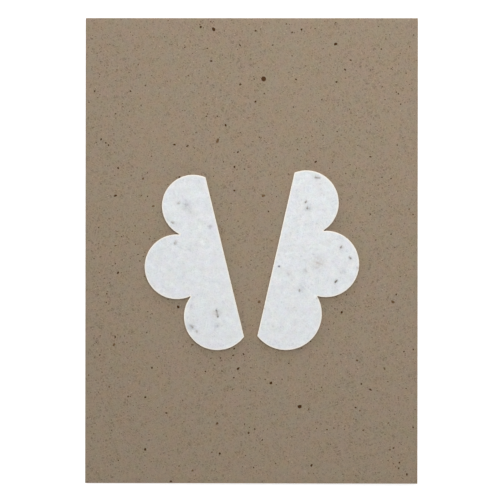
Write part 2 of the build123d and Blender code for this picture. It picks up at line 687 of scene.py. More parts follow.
@dataclass(frozen=True)
class CardShape:
    """The folded card's form: its size and opening come from the frame, its stock and fold from the part.

    Attributes:
        width: width of the card over its fold.
        height: height of the card.
        opening: angle between the leaves, in radians.
        thickness: thickness of the stock.
        fold_radius: outer radius of the fold.
    """

    width: float
    height: float
    opening: float
    thickness: float
    fold_radius: float

    @classmethod
    def from_frame(cls, thickness: float = 0.4, fold_radius: float = 0.5) -> "CardShape":
        """Reads the card's box, whose height over the fold gives the opening.

        Args:
            thickness: thickness of the stock.
            fold_radius: outer radius of the fold.

        Returns:
            The card's shape.
        """
        low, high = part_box("card")
        width, height, depth = ((high - low) / MM)[:]
        rise = (depth - 2.0 * fold_radius) / (width - fold_radius)
        return cls(width, height, math.asin(rise), thickness, fold_radius)

    @property
    def leaf(self) -> float:
        """Length of a leaf from the fold's bend to its free edge."""
        return self.width - self.fold_radius

    @property
    def bend(self) -> float:
        """Length of the fold's bend along its outside."""
        return self.fold_radius * (math.pi - self.opening)

    @property
    def length(self) -> float:
        """Length of the whole sheet along its outside."""
        return 2.0 * self.leaf + self.bend

    def bent(self, run: np.ndarray, y: np.ndarray, depth: np.ndarray) -> np.ndarray:
        """Bends the flat sheet: straight along the back, round the fold's arc, straight up the front leaf.

        Args:
            run: way along the outside from the back leaf's free edge.
            y: place up the card.
            depth: depth into the sheet from its outside.

        Returns:
            (n, 3) points.
        """
        turn = np.clip((run - self.leaf) / self.fold_radius, 0.0, math.pi - self.opening)
        reach = self.fold_radius - depth
        back = np.maximum(self.leaf - run, 0.0)
        ahead = np.maximum(run - self.leaf - self.bend, 0.0)
        fold_middle = self.fold_radius - self.width / 2.0
        x = fold_middle - reach * np.sin(turn) + back + ahead * math.cos(self.opening)
        z = self.fold_radius - reach * np.cos(turn) + ahead * math.sin(self.opening)
        return np.stack([x, y, z], axis=-1)

    def on_face(self, places: np.ndarray, height: np.ndarray, face: CardFace = CardFace.FRONT) -> np.ndarray:
        """Points at a height over a face of either leaf.

        Args:
            places: (n, 2) places from the middle of the leaf.
            height: heights over the face.
            face: face of the card.

        Returns:
            (n, 3) points.
        """
        way, outside = face.value
        depth = -height if outside else self.thickness + height
        from_fold = (self.bend + self.width) / 2.0 - self.fold_radius + places[:, 0]
        return self.bent(self.length / 2.0 + way * from_fold, places[:, 1], depth)


@dataclass(frozen=True)
class KraftCard:
    """The card as one bent sheet with softened cut edges.

    Attributes:
        shape: form of the folded card.
        leaf_steps: steps along each leaf.
        bend_steps: steps round the fold.
        height_steps: steps up the card.
        softness: radius of the rounding along the cut edges.
        rim_steps: steps of that rounding.
        edge_pale: how far the cut edges are paler than the faces.
    """

    shape: CardShape
    leaf_steps: int = 56
    bend_steps: int = 24
    height_steps: int = 84
    softness: float = 0.07
    rim_steps: int = 3
    edge_pale: float = 0.55

    def build(self, material: Material) -> Object:
        """Builds the sheet: a grid for each face, and a rim whose rows follow a rounded edge profile.

        The flat sheet is a rectangle of run and height. Its rim rows go round the rectangle's border, set out
        by the rounding's sine and sunk by its cosine, and every point is then bent by the card's shape.

        Args:
            material: kraft material.

        Returns:
            The card.
        """
        shape = self.shape
        knots = [0.0, shape.leaf, shape.leaf + shape.bend, shape.length]
        steps = [self.leaf_steps, self.bend_steps, self.leaf_steps]
        stretches = [np.linspace(a, b, n, endpoint=False) for a, b, n in zip(knots, knots[1:], steps)]
        run = np.append(np.concatenate(stretches), shape.length)
        rise = np.linspace(-shape.height / 2.0, shape.height / 2.0, self.height_steps + 1)
        flat = np.stack(np.meshgrid(run, rise), axis=-1).reshape(-1, 2)
        count = len(flat)
        over = np.arange(count).reshape(len(rise), len(run))
        border = np.concatenate([over[0, :-1], over[:-1, -1], over[-1, :0:-1], over[:0:-1, 0]])

        low = np.array([0.0, -shape.height / 2.0])
        high = np.array([shape.length, shape.height / 2.0])
        inner = np.clip(flat, low + self.softness, high - self.softness)
        outward = (flat - inner)[border] / self.softness

        angle = np.linspace(0.0, math.pi / 2.0, self.rim_steps + 1)[1:]
        reach = np.concatenate([np.sin(angle), np.sin(angle)[::-1]]) * self.softness
        sunk = self.softness * (1.0 - np.cos(angle))
        depth = np.concatenate([sunk, shape.thickness - sunk[::-1]])
        rows = inner[border][None] + outward[None] * reach[:, None, None]

        flats = np.concatenate([inner, rows.reshape(-1, 2), inner])
        depths = [np.zeros(count), np.repeat(depth, len(border)), np.full(count, shape.thickness)]
        points = shape.bent(flats[:, 0], flats[:, 1], np.concatenate(depths))

        rim = count + np.arange(len(depth) * len(border)).reshape(len(depth), len(border))
        under = over + count + rim.size
        ring = np.concatenate([border[None], rim, under.ravel()[border][None]])
        faces = [grid_quads(over), grid_quads(under)[:, ::-1], grid_quads(ring, closed=True)[:, ::-1]]
        cut_edge = np.zeros(len(points))
        cut_edge[rim.ravel()] = self.edge_pale
        made = make_piece("kraft_card_sheet", points, faces, material, {"cut_edge": cut_edge})
        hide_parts("card")
        return made


@dataclass(frozen=True)
class Chip:
    """A chip of bark on the card's front: its place, mean width, and tone from black at 0 to brown at 1."""

    x: float
    y: float
    width: float
    tone: float = 0.0


@dataclass(frozen=True)
class BarkChips:
    """Chips of bark that lie in the kraft stock's faces: scattered ones, and placed ones on the front.

    Attributes:
        shape: form of the folded card.
        seed: seed of the random draw.
        density: scattered chips for each square millimetre.
        margin: least distance of a scattered chip's middle from the card's edges.
        smallest: width of the smallest chip.
        largest: width of the largest scattered chip.
        steepness: how fast chips get rarer with width, as a power.
        darkness: how much rarer brown chips are than black ones, as a power.
        slimness: least and greatest length of a chip over its width.
        waver: least and greatest radius of a chip's rim over its mean.
        sides: points round a chip.
        crown: height of a chip's middle over the face.
        lip: height of its rim over the face.
        placed: the larger chips on the front, where the photograph shows them.
        zone: half sides of the zone about the butterfly that has only small chips besides those.
        zone_largest: width of the largest scattered chip in that zone.
    """

    shape: CardShape
    seed: int = 7
    density: float = 0.066
    margin: float = 0.6
    smallest: float = 0.24
    largest: float = 0.9
    steepness: float = 2.7
    darkness: float = 2.0
    slimness: tuple[float, float] = (1.0, 1.7)
    waver: tuple[float, float] = (0.74, 1.22)
    sides: int = 8
    crown: float = 0.014
    lip: float = 0.004
    placed: tuple[Chip, ...] = (
        Chip(4.5, 65.5, 1.9, 0.1), Chip(18.5, -59.5, 1.5), Chip(-14.5, 84.5, 1.5), Chip(32.0, 79.0, 1.3),
        Chip(-13.0, 42.0, 1.4, 0.9), Chip(7.5, -50.5, 1.2), Chip(54.0, -19.5, 1.3, 0.7),
        Chip(-5.0, -45.0, 1.0), Chip(-51.0, -8.5, 1.0), Chip(-19.5, 85.5, 1.0), Chip(-52.0, 21.0, 1.0),
        Chip(-40.5, -76.0, 1.0), Chip(-12.0, -77.5, 0.9), Chip(-24.5, 40.0, 0.9, 0.2),
        Chip(-40.5, -56.0, 0.8), Chip(-15.5, 72.5, 0.9, 0.2), Chip(1.5, 57.0, 0.8),
        Chip(-52.5, -36.0, 1.1, 1.0), Chip(-4.5, 78.5, 0.8), Chip(24.5, 34.0, 0.9), Chip(1.5, 84.0, 0.8, 0.2),
        Chip(23.0, -82.0, 0.9), Chip(19.0, 84.5, 0.8), Chip(-29.5, 40.5, 0.8), Chip(-51.0, 31.5, 0.8),
        Chip(-13.0, -66.0, 1.1, 0.6), Chip(-57.5, 42.5, 0.8), Chip(-52.0, -33.0, 0.7),
        Chip(45.5, -53.0, 1.0, 0.3), Chip(4.5, 21.0, 1.3, 1.0), Chip(-6.5, 23.0, 0.7, 0.2),
        Chip(6.5, 15.0, 0.7), Chip(-28.0, -21.5, 1.1), Chip(34.5, -23.5, 1.0), Chip(-6.5, 32.0, 0.7),
        Chip(-27.5, 28.0, 0.9), Chip(-41.5, 27.5, 0.9, 0.8), Chip(-37.5, 17.0, 0.9, 1.0),
        Chip(3.0, -19.5, 1.2, 1.0), Chip(-22.5, -36.0, 0.8, 0.7), Chip(-3.0, -39.5, 0.7),
        Chip(28.0, 8.0, 0.8, 0.2),
    )
    zone: tuple[float, float] = (45.0, 37.0)
    zone_largest: float = 0.5

    def build(self, material: Material) -> Object:
        """Builds all chips as one piece of closed lenses, with random places, widths, slimness and headings.

        The widths follow a power law between the smallest and the largest.

        Args:
            material: material of the chips.

        Returns:
            The chips.
        """
        draw = np.random.default_rng(self.seed)
        half = np.array([self.shape.width, self.shape.height]) / 2.0 - self.margin
        count = int(self.density * self.shape.width * self.shape.height)
        ceiling = 1.0 - (self.smallest / self.largest) ** self.steepness
        parts: list[np.ndarray] = []
        tones: list[np.ndarray] = []
        for face in CardFace:
            places = draw.uniform(-half, half, (count, 2))
            rarity = 1.0 - ceiling * draw.uniform(0.0, 1.0, count)
            widths = self.smallest * rarity ** (-1.0 / self.steepness)
            tone = draw.uniform(0.0, 1.0, count) ** self.darkness
            if face is CardFace.FRONT:
                placed = np.array([astuple(chip) for chip in self.placed])
                near = (np.abs(places) < self.zone).all(axis=1)
                widths = np.where(near, np.minimum(widths, self.zone_largest), widths)
                places = np.concatenate([places, placed[:, :2]])
                widths = np.concatenate([widths, placed[:, 2]])
                tone = np.concatenate([tone, placed[:, 3]])
            parts.append(self.lenses(face, places, widths, draw))
            tones.append(np.repeat(tone, self.sides + 2))
        points = np.concatenate(parts)
        faces = [self.lens_faces(len(points) // (self.sides + 2))]
        values = {"chip_tone": np.concatenate(tones)}
        return make_piece("kraft_card_bark_chips", points, faces, material, values)

    def lenses(
        self, face: CardFace, places: np.ndarray, widths: np.ndarray, draw: np.random.Generator
    ) -> np.ndarray:
        """Points of lenses on one face: each lens's rim, then its crown and the point under it.

        A rim is a turned ellipse whose radius wavers from point to point.

        Args:
            face: face of the card.
            places: (n, 2) middles.
            widths: mean widths.
            draw: source of random numbers.

        Returns:
            (n * (sides + 2), 3) points.
        """
        count = len(widths)
        angle = np.linspace(0.0, TURN, self.sides, endpoint=False)
        slim = draw.uniform(*self.slimness, (count, 1))
        waver = draw.uniform(*self.waver, (count, self.sides))
        heading = draw.uniform(0.0, math.pi, (count, 1))
        long = widths[:, None] / 2.0 * waver * np.sqrt(slim) * np.cos(angle)
        short = widths[:, None] / 2.0 * waver / np.sqrt(slim) * np.sin(angle)
        x = places[:, :1] + long * np.cos(heading) - short * np.sin(heading)
        y = places[:, 1:] + long * np.sin(heading) + short * np.cos(heading)
        rims = np.stack([x, y], axis=-1)
        points = np.concatenate([rims, np.repeat(places[:, None], 2, axis=1)], axis=1)
        height = np.append(np.full(self.sides, self.lip), [self.crown, -self.crown])
        return self.shape.on_face(points.reshape(-1, 2), np.tile(height, count), face)

    def lens_faces(self, count: int) -> np.ndarray:
        """Triangles of the lenses: a fan from the crown and a fan from the point under it.

        Args:
            count: number of lenses.

        Returns:
            (n, 3) triangles.
        """
        here = np.arange(self.sides)
        after = (here + 1) % self.sides
        over = np.stack([here, after, np.full(self.sides, self.sides)], axis=-1)
        below = np.stack([after, here, np.full(self.sides, self.sides + 1)], axis=-1)
        one = np.concatenate([over, below])
        start = np.arange(count)[:, None, None] * (self.sides + 2)
        return (start + one[None]).reshape(-1, 3)


@dataclass(frozen=True)
class Petal:
    """A round petal: its middle out from the cut edge and along it, and its radius."""

    out: float
    along: float
    radius: float

    @property
    def middle(self) -> np.ndarray:
        """The petal's middle as (out, along)."""
        return np.array([self.out, self.along])


@dataclass(frozen=True)
class Seed:
    """A seed in a wing's face: its petal, bearing and inset there, its heading and length, and its pulp veil.

    The veil is the share of pulp over the seed's middle, and bare is how much less of it is over its ends.
    """

    petal: int
    bearing: float
    inset: float
    heading: float
    length: float
    veil: float
    bare: float = 0.0


@dataclass(frozen=True)
class Stain:
    """A soft mark on the paper: its place, reach, depth of tone, bump and warmth of colour.

    Most are marks of something sunk in the paper, and a few are painted shade. A tone under 0 is a painted
    highlight, the paper painted paler over a bump.
    """

    out: float
    along: float
    reach: float
    tone: float
    bump: float = 0.0
    warmth: float = 0.0

    def fall(self, places: np.ndarray) -> np.ndarray:
        """How near places are to the stain, from 1 at its middle."""
        return soft_fall(np.hypot(places[:, 0] - self.out, places[:, 1] - self.along), self.reach)


@dataclass(frozen=True)
class Arc:
    """A stretch of outline round a middle, from one angle to another; a falling angle is a hollow stretch."""

    middle: np.ndarray
    radius: float
    start: float
    end: float
    steps: int

    def points(self) -> tuple[np.ndarray, np.ndarray]:
        """Points along the arc, without its last, and the outward direction at each.

        Returns:
            (steps, 2) points and (steps, 2) directions.
        """
        angle = np.linspace(self.start, self.end, self.steps, endpoint=False)
        ray = np.stack([np.cos(angle), np.sin(angle)], axis=-1)
        return self.middle + self.radius * ray, math.copysign(1.0, self.end - self.start) * ray


@dataclass(frozen=True)
class SeedPaperWing:
    """One wing: half of a flower of round petals, cut straight, of thick handmade paper with a soft rim.

    Attributes:
        name: name of the wing's node.
        side: side of the butterfly.
        edge: place on the card's front where the wing's own frame has its origin.
        lean: degrees that the cut edge leans outwards at its top.
        petals: petals from the top of the wing down.
        seeds: seeds that show in its face.
        stains: soft marks of what is sunk in it.
        seed: seed of the random draws.
        thickness: thickness of the paper.
        standoff: height of its underside over the card's face.
        notch_radius: radius of the rounding between petals.
        corner_radius: radius of the rounding at the ends of the cut edge.
        rim_width: width of the rounding round the top face.
        rim_drop: depth of that rounding.
        foot_round: radius of the rounding round the underside.
        rim_waver: height and wavelength of the rim's unevenness.
        lumps: height and wavelength of the pulp's lumps, from the longest to the shortest.
        lump_foot: share of the thickness under which there are none.
        seed_bed: reach of the flat paper about a seed.
        seed_radius: radius of a seed's head.
        halo: depth of tone, reach and warmth of the mark about a seed.
        rim_highlight: how far the painted warm highlight along the rim covers the paper's edge.
        rim_highlight_depths: distances in from the edge where that painted highlight begins and is fullest.
        petal_steps: steps along each petal of the outline.
        notch_steps: steps along each notch.
        corner_steps: steps along each corner.
        rim_steps: steps of the rounding round the top face.
        foot_steps: steps of the rounding round the underside.
        across_steps: steps of each line across the top face.
        under_steps: steps of each line across the underside.
    """

    name: str
    side: Side
    edge: tuple[float, float]
    lean: float
    petals: tuple[Petal, ...]
    seeds: tuple[Seed, ...]
    stains: tuple[Stain, ...]
    seed: int
    thickness: float = 0.7
    standoff: float = 0.3
    notch_radius: float = 0.15
    corner_radius: float = 0.2
    rim_width: float = 0.2
    rim_drop: float = 0.13
    foot_round: float = 0.1
    rim_waver: tuple[float, float] = (0.012, 0.9)
    lumps: tuple[tuple[float, float], ...] = ((0.034, 6.5), (0.018, 2.6), (0.008, 1.2))
    lump_foot: float = 0.2
    seed_bed: float = 0.75
    seed_radius: float = 0.4
    halo: tuple[float, float, float] = (0.46, 0.62, 0.45)
    rim_highlight: float = 0.9
    rim_highlight_depths: tuple[float, float] = (0.82, 0.18)
    petal_steps: int = 108
    notch_steps: int = 8
    corner_steps: int = 6
    rim_steps: int = 6
    foot_steps: int = 2
    across_steps: int = 104
    under_steps: int = 10

    def to_front(self, places: np.ndarray) -> np.ndarray:
        """Places on the card's front of places on the wing: moved out and along the leaning cut edge.

        Args:
            places: (n, 2) places as (out, along).

        Returns:
            (n, 2) places from the middle of the front.
        """
        lean = math.radians(self.lean)
        x = self.edge[0] + self.side.value * (places[:, 0] * math.cos(lean) + places[:, 1] * math.sin(lean))
        y = self.edge[1] - places[:, 0] * math.sin(lean) + places[:, 1] * math.cos(lean)
        return np.stack([x, y], axis=-1)

    def ray(self, degrees: float) -> np.ndarray:
        """The direction at a bearing, as (out, along), mirrored with the wing."""
        return np.array([self.side.value * math.cos(math.radians(degrees)), math.sin(math.radians(degrees))])

    def circles(self) -> tuple[np.ndarray, np.ndarray]:
        """Middles of the petals as (out, along), and their radii, from the lowest up."""
        rows = np.array([astuple(petal) for petal in self.petals[::-1]])
        return rows[:, :2], rows[:, 2]

    def corner(self, petal: Petal, way: float) -> np.ndarray:
        """Middle of the rounding between the cut edge and a petal, inside both.

        Args:
            petal: petal at an end of the wing.
            way: 1 at the top of the wing and -1 at its foot.

        Returns:
            The middle as (out, along).
        """
        reach = petal.radius - self.corner_radius
        across = self.corner_radius - petal.out
        return np.array([self.corner_radius, petal.along + way * math.sqrt(reach**2 - across**2)])

    def notches(self) -> np.ndarray:
        """Middles of the roundings between petals, outside them, from the lowest up.

        Each is where circles about two petals' middles cross, on the side away from the cut edge. Their radii
        are the petals' own and that of the rounding.

        Returns:
            (n, 2) middles as (out, along).
        """
        middles, radii = self.circles()
        reach = radii + self.notch_radius
        gap = np.diff(middles, axis=0)
        span = np.hypot(*gap.T)
        along = (reach[:-1] ** 2 - reach[1:] ** 2 + span**2) / (2.0 * span)
        off = np.sqrt(reach[:-1] ** 2 - along**2)
        ahead = gap / span[:, None]
        outward = np.stack([ahead[:, 1], -ahead[:, 0]], axis=-1)
        return middles[:-1] + ahead * along[:, None] + outward * off[:, None]

    def outline(self) -> tuple[np.ndarray, np.ndarray, np.ndarray]:
        """The wing's lobed outline from its low corner to its top corner, and the cut edge facing it.

        Each stretch is an arc that runs smoothly into the next: a corner, a petal, a notch, and so on up. The
        points of the cut edge are spread so that lines across the wing go straight into each notch and never
        cross.

        Returns:
            (n, 2) outline points, (n, 2) outward directions and n places along the cut edge.
        """
        middles, radii = self.circles()
        notches = self.notches()
        low = self.corner(self.petals[-1], -1.0)
        top = self.corner(self.petals[0], 1.0)
        joints = np.array([low, *notches, top])
        start = np.arctan2(*(joints[:-1] - middles).T[::-1])
        end = np.arctan2(*(joints[1:] - middles).T[::-1])
        end += TURN * (end < start)

        arcs = [Arc(low, self.corner_radius, -math.pi, start[0], self.corner_steps)]
        for place, middle in enumerate(middles):
            arcs.append(Arc(middle, radii[place], start[place], end[place], self.petal_steps))
            if place < len(notches):
                begin = end[place] - math.pi
                sweep = (begin - start[place + 1] - math.pi) % TURN
                arcs.append(Arc(notches[place], self.notch_radius, begin, begin - sweep, self.notch_steps))
        arcs.append(Arc(top, self.corner_radius, end[-1], math.pi, self.corner_steps))
        points, outward = (np.concatenate(parts) for parts in zip(*(arc.points() for arc in arcs)))
        points = np.append(points, [[0.0, top[1]]], axis=0)
        outward = np.append(outward, [[-1.0, 0.0]], axis=0)

        ahead = np.diff(middles, axis=0)
        crossings = notches[:, 1] + notches[:, 0] * ahead[:, 0] / ahead[:, 1]
        stretch = self.petal_steps + self.notch_steps
        marks = self.corner_steps + stretch * np.arange(1, len(middles)) - self.notch_steps // 2
        knots = [low[1], *crossings, top[1]]
        facing = np.interp(np.arange(len(points)), [0, *marks, len(points) - 1], knots)
        return points, outward, facing

    def rim_profile(self) -> tuple[np.ndarray, np.ndarray]:
        """The rim's section, from the underside round to the top face, as insets and heights.

        A small quarter circle at the foot and a flat quarter ellipse at the top, with the cut wall between.

        Returns:
            Insets from the outline and heights over the underside.
        """
        foot = np.linspace(0.0, math.pi / 2.0, self.foot_steps + 1)
        crown = np.linspace(0.0, math.pi / 2.0, self.rim_steps + 1)
        insets = [self.foot_round * (1.0 - np.sin(foot)), self.rim_width * (1.0 - np.cos(crown))]
        drop = self.rim_drop * (1.0 - np.sin(crown))
        heights = [self.foot_round * (1.0 - np.cos(foot)), self.thickness - drop]
        return np.concatenate(insets), np.concatenate(heights)

    @staticmethod
    def fill(
        border: np.ndarray, ring: np.ndarray, steps: int, first: int
    ) -> tuple[np.ndarray, list[np.ndarray]]:
        """Closes a border with straight lines from the cut edge to the outline, which share their corners.

        Args:
            border: (n, 2) places round the border, up the outline and back down the cut edge.
            ring: point numbers of those places.
            steps: steps along each line.
            first: number of the first new point.

        Returns:
            New places along the lines; quads, and the triangles at the two corners.
        """
        top = len(ring) // 2
        outline, facing = slice(1, top), slice(None, top, -1)
        share = np.linspace(0.0, 1.0, steps + 1)[1:-1][None, :, None]
        places = border[facing, None] * (1.0 - share) + border[outline, None] * share
        index = first + np.arange(places[..., 0].size).reshape(places.shape[:2])
        grid = np.concatenate([ring[facing, None], index, ring[outline, None]], axis=1)
        low_corner = np.stack([np.full(steps, ring[0]), grid[0, 1:], grid[0, :-1]], axis=-1)
        top_corner = np.stack([grid[-1, :-1], grid[-1, 1:], np.full(steps, ring[top])], axis=-1)
        return places.reshape(-1, 2), [grid_quads(grid), low_corner, top_corner]

    def depth_inside(self, places: np.ndarray) -> np.ndarray:
        """Distance in from the nearest edge of the wing: its cut edge, its notches and its petals' rims.

        The nearest point of a petal's rim counts only where it is bare, which is outside the other petals and
        outside the body between the petals' middles and the cut edge.

        Args:
            places: (n, 2) places as (out, along).

        Returns:
            One distance for each place.
        """
        depth = places[:, 0]
        outs, alongs = self.circles()[0].T
        for petal in self.petals:
            ray = places - petal.middle
            reach = np.maximum(np.hypot(*ray.T), TINY)
            rim = petal.middle + ray * (petal.radius / reach)[:, None]
            bare = rim[:, 0] > np.interp(rim[:, 1], alongs, outs, left=0.0, right=0.0)
            for other in self.petals:
                if other is not petal:
                    bare &= np.hypot(*(rim - other.middle).T) > other.radius
            depth = np.where(bare, np.minimum(depth, np.abs(petal.radius - reach)), depth)
        for notch in self.notches():
            depth = np.minimum(depth, np.hypot(*(places - notch).T))
        return depth

    def seed_place(self, seed: Seed) -> np.ndarray:
        """Middle of a seed as (out, along): from its petal's middle, along its bearing, to its inset."""
        petal = self.petals[seed.petal]
        return petal.middle + (petal.radius - seed.inset) * self.ray(seed.bearing)

    def seed_gap(self, places: np.ndarray) -> np.ndarray:
        """Distance to the nearest seed's spine, the line along its heading between the middles of its ends.

        Args:
            places: (n, 2) places as (out, along).

        Returns:
            One distance for each place.
        """
        nearest = np.full(len(places), np.inf)
        for seed in self.seeds:
            spine = self.ray(seed.heading)
            half = seed.length / 2.0 - self.seed_radius
            ray = places - self.seed_place(seed)
            way = np.clip(ray @ spine, -half, half)
            nearest = np.minimum(nearest, np.hypot(*(ray - way[:, None] * spine).T))
        return nearest

    def relief(self, places: np.ndarray) -> np.ndarray:
        """Height of the pulp over the face: ripples and the bumps over stains added up, and flat about seeds.

        Args:
            places: (n, 2) places as (out, along).

        Returns:
            One height for each place.
        """
        height = np.zeros(len(places))
        for number, (lump, wavelength) in enumerate(self.lumps):
            height += lump * ripple(places, wavelength, self.seed + number)
        for stain in self.stains:
            height += stain.bump * stain.fall(places)
        return height * (1.0 - soft_fall(self.seed_gap(places), self.seed_bed))

    def marks(self, places: np.ndarray) -> tuple[np.ndarray, np.ndarray, np.ndarray]:
        """How far the paper is marked, how warm the mark is and how far it is painted paler as a highlight.

        All are soft round falls about the stains, and the paper is also marked about its seeds.

        Args:
            places: (n, 2) places as (out, along).

        Returns:
            Depths of tone, warmths and painted highlights.
        """
        halo_tone, halo_reach, halo_warmth = self.halo
        tone = halo_tone * soft_fall(self.seed_gap(places), halo_reach)
        warmth = np.full(len(places), halo_warmth)
        pale = np.zeros(len(places))
        for stain in self.stains:
            mark = stain.tone * stain.fall(places)
            warmth = np.where(mark > tone, stain.warmth, warmth)
            tone = np.maximum(tone, mark)
            # A tone under 0 paints a highlight over a bump
            pale = np.maximum(pale, -mark)
        return tone, warmth, pale

    def build(self, shape: CardShape, material: Material) -> Object:
        """Builds the wing: rim rows carried round its border, closed over and under by lines drawn across.

        Args:
            shape: form of the card that it stands on.
            material: seed paper material.

        Returns:
            The wing.
        """
        outline, outward, facing = self.outline()
        cut = np.stack([np.zeros(len(facing) - 2), facing[-2:0:-1]], axis=-1)
        border = np.concatenate([outline, cut])
        normal = np.concatenate([outward, np.tile([-1.0, 0.0], (len(cut), 1))])
        waver_height, wavelength = self.rim_waver
        waver = waver_height * ripple(border, wavelength, self.seed + len(self.lumps))
        inset, height = self.rim_profile()
        rows = border[None] - normal[None] * (inset[:, None, None] + waver[None, :, None])

        ring = np.arange(rows[..., 0].size).reshape(rows.shape[:2])
        over, over_faces = self.fill(rows[-1], ring[-1], self.across_steps, ring.size)
        under, under_faces = self.fill(rows[0], ring[0], self.under_steps, ring.size + len(over))
        places = np.concatenate([rows.reshape(-1, 2), over, under])
        levels = [np.repeat(height, len(border)), np.full(len(over), self.thickness), np.zeros(len(under))]
        rise = np.concatenate(levels)
        lumps = self.relief(places) * smooth_step(self.lump_foot * self.thickness, self.thickness, rise)
        points = shape.on_face(self.to_front(places), self.standoff + rise + lumps)

        faces = [grid_quads(ring, closed=True), *over_faces, *(face[:, ::-1] for face in under_faces)]
        if self.side is Side.LEFT:
            faces = [face[:, ::-1] for face in faces]
        tone, warmth, pale = self.marks(places)
        values = {
            # Painted warm highlight round the wing's edge, fullest at the outline
            "rim": self.rim_highlight * smooth_step(*self.rim_highlight_depths, self.depth_inside(places)),
            "stain": tone * (rise > self.thickness / 2.0),
            "warmth": warmth,
            # Painted highlights over bumps
            "pale": pale,
        }
        made = make_piece(f"{self.name}_paper", points, faces, material, values)
        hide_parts(self.name)
        return made


@dataclass(frozen=True)
class WingSeeds:
    """The seeds bedded in a wing, each a flattened drop with a rounded back.

    Attributes:
        wing: wing that holds them.
        tip_radius: radius of a seed's tip.
        thickness: its thickness.
        proud: how far it stands out of the paper's face.
        fullness: power of the share of the full width that gives the share of the full thickness.
        rings: rings of points along a seed.
        spokes: points round each ring.
    """

    wing: SeedPaperWing
    tip_radius: float = 0.2
    thickness: float = 0.42
    proud: float = 0.14
    fullness: float = 0.7
    rings: int = 15
    spokes: int = 18

    def half_width(self, way: np.ndarray, length: float) -> np.ndarray:
        """Half the seed's width: that of the head's circle, the cone tangent to both circles, or the tip's.

        Args:
            way: places along the seed from its middle.
            length: length of the seed.

        Returns:
            Half widths.
        """
        head_radius = self.wing.seed_radius
        head = head_radius - length / 2.0
        tip = length / 2.0 - self.tip_radius
        slope = (head_radius - self.tip_radius) / (tip - head)
        lean = math.asin(slope)
        start = head + head_radius * slope
        end = tip + self.tip_radius * slope
        head_circle = np.sqrt(np.maximum(head_radius**2 - (way - head) ** 2, 0.0))
        tip_circle = np.sqrt(np.maximum(self.tip_radius**2 - (way - tip) ** 2, 0.0))
        cone = head_radius / math.cos(lean) - (way - head) * math.tan(lean)
        return np.where(way < start, head_circle, np.where(way > end, tip_circle, cone))

    def build(self, shape: CardShape, material: Material) -> Object:
        """Builds the wing's seeds as one piece.

        A seed is a tube along its length: its half width gives the plan, and its rise is the share of the
        full width to a small power times half its thickness, so that its back is broad and round.

        Args:
            shape: form of the card.
            material: seed material.

        Returns:
            The seeds.
        """
        wing = self.wing
        stations = -np.cos(np.linspace(0.0, math.pi, self.rings + 2))
        spin = np.linspace(0.0, TURN, self.spokes, endpoint=False)
        one = self.rings * self.spokes + 2
        ring = 1 + np.arange(self.rings * self.spokes).reshape(self.rings, self.spokes)
        head = np.stack([np.zeros(self.spokes, int), np.roll(ring[0], -1), ring[0]], axis=-1)
        tail = np.stack([np.full(self.spokes, one - 1), ring[-1], np.roll(ring[-1], -1)], axis=-1)
        quads = grid_quads(ring, closed=True)
        places, heights, veils = [], [], []
        for seed in wing.seeds:
            way = stations * seed.length / 2.0
            half = self.half_width(way, seed.length)[1:-1, None]
            rise = (half / wing.seed_radius) ** self.fullness * self.thickness / 2.0
            long = np.concatenate([way[:1], np.repeat(way[1:-1], self.spokes), way[-1:]])[:, None]
            side = np.concatenate([[0.0], (half * np.cos(spin)).ravel(), [0.0]])[:, None]
            height = np.concatenate([[0.0], (rise * np.sin(spin)).ravel(), [0.0]])
            spine, flank = wing.ray(seed.heading), wing.ray(seed.heading + 90.0)
            places.append(wing.seed_place(seed) + long * spine + side * flank)
            heights.append(height + self.proud - self.thickness / 2.0)
            veils.append(seed.veil * (1.0 - seed.bare * (2.0 * long[:, 0] / seed.length) ** 2))
        top = wing.standoff + wing.thickness
        points = shape.on_face(wing.to_front(np.concatenate(places)), top + np.concatenate(heights))
        start = (np.arange(len(places)) * one)[:, None, None]
        faces = [(start + group[None]).reshape(-1, group.shape[1]) for group in (quads, head, tail)]
        values = {"veil": np.concatenate(veils)}
        made = make_piece(f"{wing.name}_seed_husks", points, faces, material, values)
        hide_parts(f"{wing.name}_seeds")
        return made


@dataclass(frozen=True)
class WingPads:
    """The sticky pads behind a wing, which keep their own solids.

    Attributes:
        wing: wing that they hold.
    """

    wing: SeedPaperWing

    def build(self, material: Material) -> Object:
        """Dresses the pads.

        Args:
            material: pad material.

        Returns:
            The pads.
        """
        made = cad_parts[f"{self.wing.name}_pads"]
        made.data.materials.clear()
        made.data.materials.append(material)
        return made


